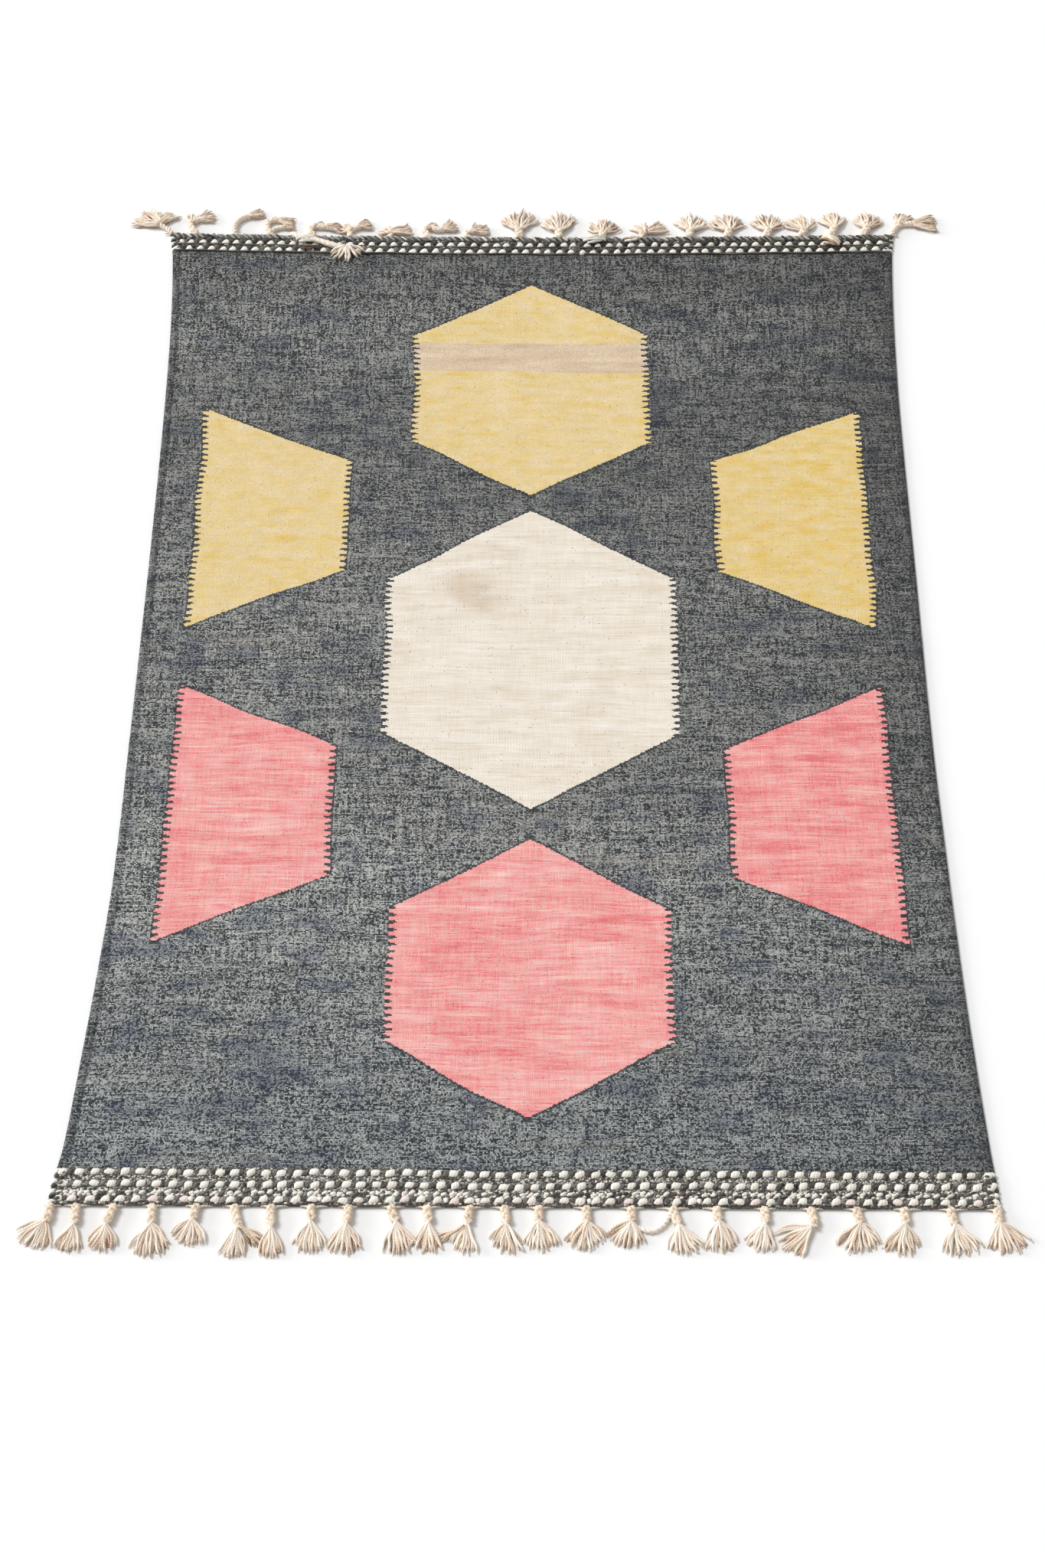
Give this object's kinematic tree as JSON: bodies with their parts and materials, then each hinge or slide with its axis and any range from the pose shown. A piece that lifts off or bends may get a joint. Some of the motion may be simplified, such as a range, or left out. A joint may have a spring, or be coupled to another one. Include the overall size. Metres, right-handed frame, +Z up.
{
  "type": "flat-woven rug with tassels",
  "caption": "Flat rectangular rug, slightly waisted, with a thick twined band and a row of knotted yarn tassels along each short end.",
  "frame": {"origin": "on the floor, under the middle of the woven field's flat underside", "axes": "+X across the width, +Y along the length towards the far end, whose tassels are fewer and curled, +Z up out of the floor"},
  "size_m": [1.356, 1.977, 0.0169],
  "materials": {
    "woven_field": "slate heather wool and cotton tapestry weave, matt, with blocks of yellow, cream and pink",
    "twined_band": "thick cream and charcoal twined yarn, matt",
    "tassel_yarn": "undyed cotton warp yarn, knotted and fanned, matt"
  },
  "bodies": {
    "root": {"field": "woven_field", "twined_band_near": "twined_band", "twined_band_far": "twined_band", "tassel_near_01": "tassel_yarn", "tassel_near_02": "tassel_yarn", "tassel_near_03": "tassel_yarn", "tassel_near_04": "tassel_yarn", "tassel_near_05": "tassel_yarn", "tassel_near_06": "tassel_yarn", "tassel_near_07": "tassel_yarn", "tassel_near_08": "tassel_yarn", "tassel_near_09": "tassel_yarn", "tassel_near_10": "tassel_yarn", "tassel_near_11": "tassel_yarn", "tassel_near_12": "tassel_yarn", "tassel_near_13": "tassel_yarn", "tassel_near_14": "tassel_yarn", "tassel_near_15": "tassel_yarn", "tassel_near_16": "tassel_yarn", "tassel_near_17": "tassel_yarn", "tassel_near_18": "tassel_yarn", "tassel_near_19": "tassel_yarn", "tassel_near_20": "tassel_yarn", "tassel_near_21": "tassel_yarn", "tassel_near_22": "tassel_yarn", "tassel_near_23": "tassel_yarn", "tassel_near_24": "tassel_yarn", "tassel_far_01": "tassel_yarn", "tassel_far_02": "tassel_yarn", "tassel_far_03": "tassel_yarn", "tassel_far_04": "tassel_yarn", "tassel_far_05": "tassel_yarn", "tassel_far_06": "tassel_yarn", "tassel_far_07": "tassel_yarn", "tassel_far_08": "tassel_yarn", "tassel_far_09": "tassel_yarn", "tassel_far_10": "tassel_yarn", "tassel_far_11": "tassel_yarn", "tassel_far_12": "tassel_yarn", "tassel_far_13": "tassel_yarn", "tassel_far_14": "tassel_yarn", "tassel_far_15": "tassel_yarn", "tassel_far_16": "tassel_yarn", "tassel_far_17": "tassel_yarn", "tassel_far_18": "tassel_yarn", "tassel_far_19": "tassel_yarn", "tassel_far_20": "tassel_yarn", "tassel_far_21": "tassel_yarn"}
  },
  "joints": []
}
